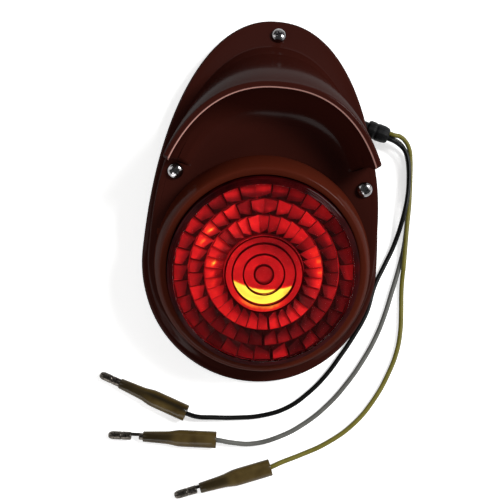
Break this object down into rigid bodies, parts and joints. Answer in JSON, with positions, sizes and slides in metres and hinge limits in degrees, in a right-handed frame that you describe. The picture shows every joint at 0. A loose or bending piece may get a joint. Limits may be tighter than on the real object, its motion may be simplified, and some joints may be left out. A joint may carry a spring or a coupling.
{
  "type": "motorcycle tail light",
  "caption": "Painted nacelle tail light with a visor over a round red prism lens, bayonet bulb inside, rubber base gasket, and leads ending in sleeved bullet terminals.",
  "frame": {"origin": "centre of the base outline on the underside of the rubber gasket, which stands on the surface", "axes": "+Z out of the base, +Y towards the pointed visor end, -Y towards the lens end, +X towards the side where the leads come out"},
  "size_m": [0.1452, 0.2392, 0.0762],
  "materials": {
    "gasket_rubber": "matt black moulded rubber",
    "boot_rubber": "satin black moulded rubber",
    "plated_steel": "zinc plated sheet steel",
    "screw_chrome": "bright plated screw",
    "maroon_paint": "glossy dark maroon enamel",
    "terminal_brass": "bright brass",
    "tinned_terminal": "dull tinned brass",
    "red_lens": "clear red moulded acrylic",
    "reflector_white": "white moulded plastic",
    "insulator_board": "brown phenolic board",
    "bulb_glass": "clear glass",
    "solder": "dull solder",
    "lead_black": "satin black PVC",
    "lead_grey": "satin grey PVC",
    "lead_yellow": "satin olive yellow PVC",
    "sleeve_pvc": "translucent olive brown soft PVC"
  },
  "bodies": {
    "lamp": {"base_gasket": "gasket_rubber", "base_plate": "plated_steel", "weld_nuts": "plated_steel", "base_screws": "plated_steel", "housing": "maroon_paint", "front_panel": "maroon_paint", "panel_inserts": "terminal_brass", "panel_screws": "screw_chrome", "hood_screw": "screw_chrome", "lens": "red_lens", "lens_seal": "gasket_rubber", "reflector": "reflector_white", "retaining_ring": "plated_steel", "socket_bracket": "plated_steel", "socket_rivets": "plated_steel", "bulb_socket": "plated_steel", "socket_end_cap": "plated_steel", "contact_spring": "plated_steel", "earth_terminal": "terminal_brass", "inner_lead_black": "lead_black", "inner_lead_grey": "lead_grey", "inner_lead_yellow": "lead_yellow", "cable_boot": "boot_rubber", "wire_black": "lead_black", "wire_grey": "lead_grey", "wire_yellow": "lead_yellow", "bullet_black": "tinned_terminal", "bullet_grey": "tinned_terminal", "bullet_yellow": "tinned_terminal"},
    "contacts": {"contact_carrier": "insulator_board", "contact_plungers": "terminal_brass"},
    "bulb": {"bulb_glass": "bulb_glass", "bulb_cap": "terminal_brass", "bulb_contacts": "solder", "bulb_filaments": "solder"},
    "black_sleeve": {"sleeve_black": "sleeve_pvc"},
    "grey_sleeve": {"sleeve_grey": "sleeve_pvc"},
    "yellow_sleeve": {"sleeve_yellow": "sleeve_pvc"}
  },
  "joints": [
    {"name": "contact_push", "type": "slide", "parent": "lamp", "child": "contacts", "axis": [0, 0.9205, 0.3907], "range_m": [0, 0.0025], "stiffness_N_per_m": 800, "springref_m": -0.003, "deforming": ["contact_spring"]},
    {"name": "bulb_twist", "type": "hinge", "parent": "contacts", "child": "bulb", "pos_m": [0, -0.03973, 0.03236], "axis": [0, 0.9205, 0.3907], "range_deg": [-18, 0]},
    {"name": "black_sleeve_slide", "type": "slide", "parent": "lamp", "child": "black_sleeve", "axis": [0.9437, -0.3286, 0.0391], "range_m": [0, 0.006]},
    {"name": "grey_sleeve_slide", "type": "slide", "parent": "lamp", "child": "grey_sleeve", "axis": [0.9985, 0.0384, 0.0391], "range_m": [0, 0.006]},
    {"name": "yellow_sleeve_slide", "type": "slide", "parent": "lamp", "child": "yellow_sleeve", "axis": [0.9335, 0.3565, 0.0391], "range_m": [0, 0.006]}
  ]
}
